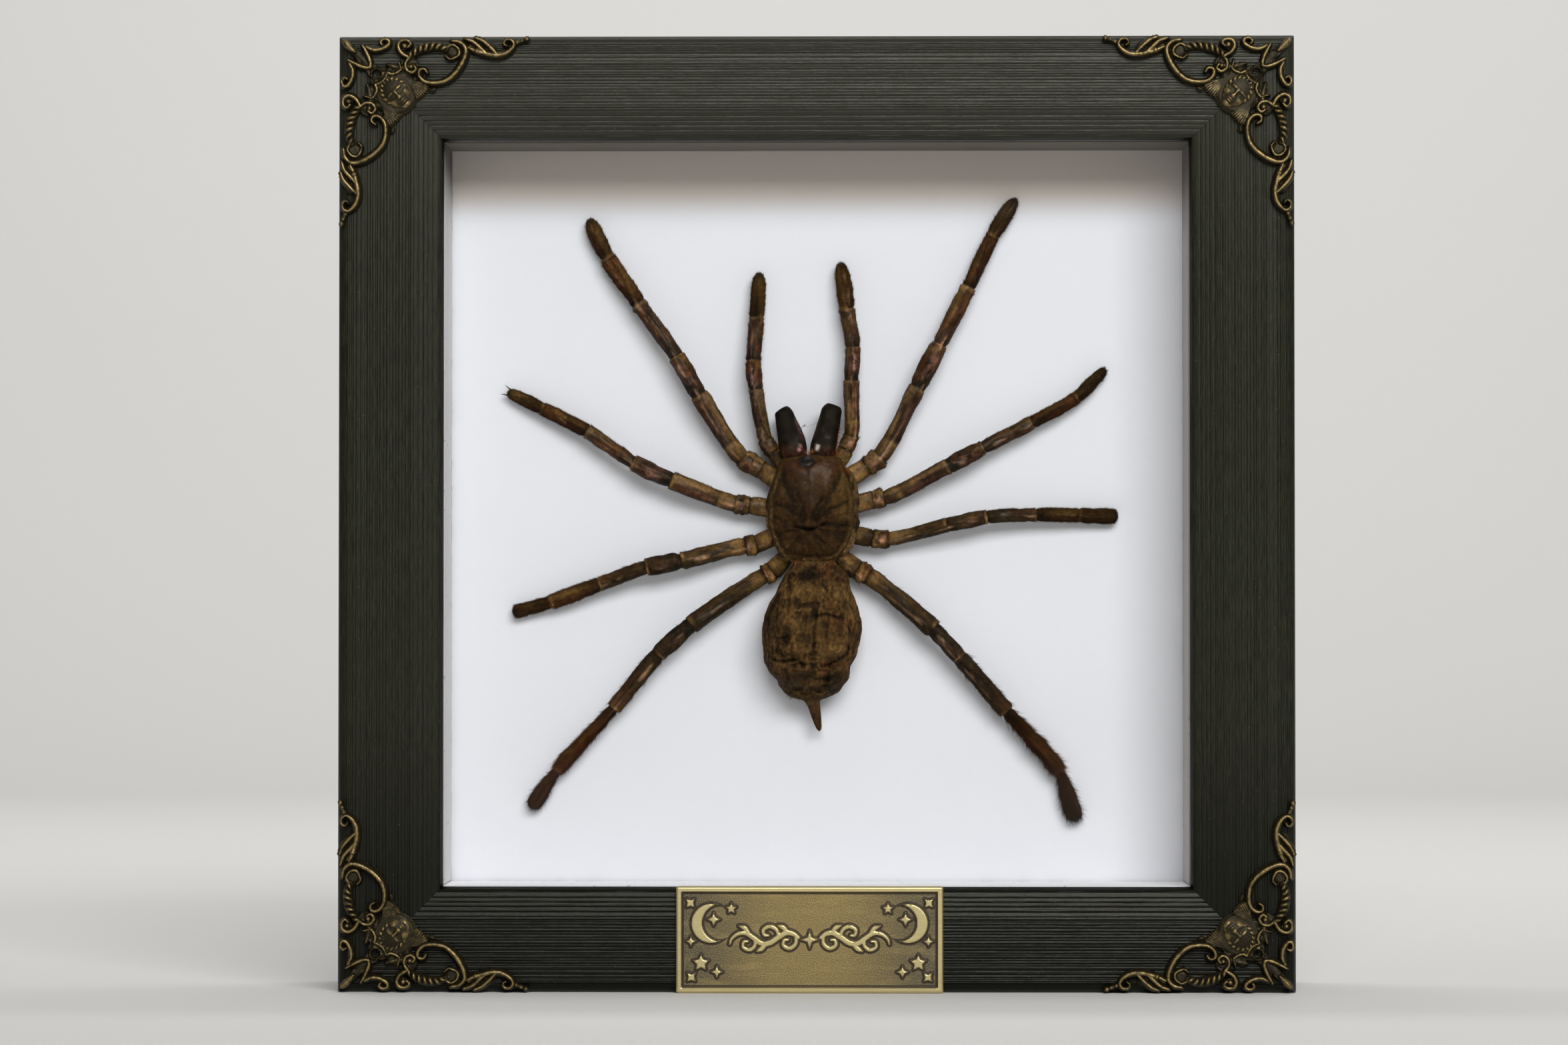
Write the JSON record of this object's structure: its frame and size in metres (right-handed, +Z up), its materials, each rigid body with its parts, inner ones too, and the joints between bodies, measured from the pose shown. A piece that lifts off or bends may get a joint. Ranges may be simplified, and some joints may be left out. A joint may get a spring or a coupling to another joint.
{
  "type": "framed tarantula specimen",
  "caption": "Dried tarantula spread on a white board in a square dark shadow-box frame with cast bronze corner ornaments, a small plate and a clear pane.",
  "frame": {"origin": "centre of the whole object's footprint, at the level of the frame's bottom side", "axes": "+X to the viewer's right, +Y from the front to the back, +Z up"},
  "size_m": [0.2, 0.0364, 0.2],
  "materials": {
    "moulding": "combed satin",
    "acrylic": "polished",
    "foam_board": "matte paper face",
    "hardboard": "plain hardboard",
    "zinc": "zinc plated",
    "antique_bronze": "antiqued, worn bright on the ridges",
    "cuticle": "dried hairy cuticle"
  },
  "bodies": {
    "root": {"rail_top": "moulding", "rail_bottom": "moulding", "rail_left": "moulding", "rail_right": "moulding", "clear_pane": "acrylic", "liner_top": "foam_board", "liner_bottom": "foam_board", "liner_left": "foam_board", "liner_right": "foam_board", "backing_board": "foam_board", "back_panel": "hardboard", "tab_top_a": "zinc", "tab_top_b": "zinc", "tab_bottom_a": "zinc", "tab_bottom_b": "zinc", "tab_left_a": "zinc", "tab_left_b": "zinc", "tab_right_a": "zinc", "tab_right_b": "zinc", "hanger": "zinc", "corner_ornament_top_left": "antique_bronze", "corner_ornament_top_right": "antique_bronze", "corner_ornament_bottom_left": "antique_bronze", "corner_ornament_bottom_right": "antique_bronze", "nameplate": "antique_bronze", "cephalothorax": "cuticle", "abdomen": "cuticle", "chelicera_left": "cuticle", "chelicera_right": "cuticle", "pedipalp_left": "cuticle", "pedipalp_right": "cuticle", "leg_1_left": "cuticle", "leg_1_right": "cuticle", "leg_2_left": "cuticle", "leg_2_right": "cuticle", "leg_3_left": "cuticle", "leg_3_right": "cuticle", "leg_4_left": "cuticle", "leg_4_right": "cuticle"}
  },
  "joints": []
}
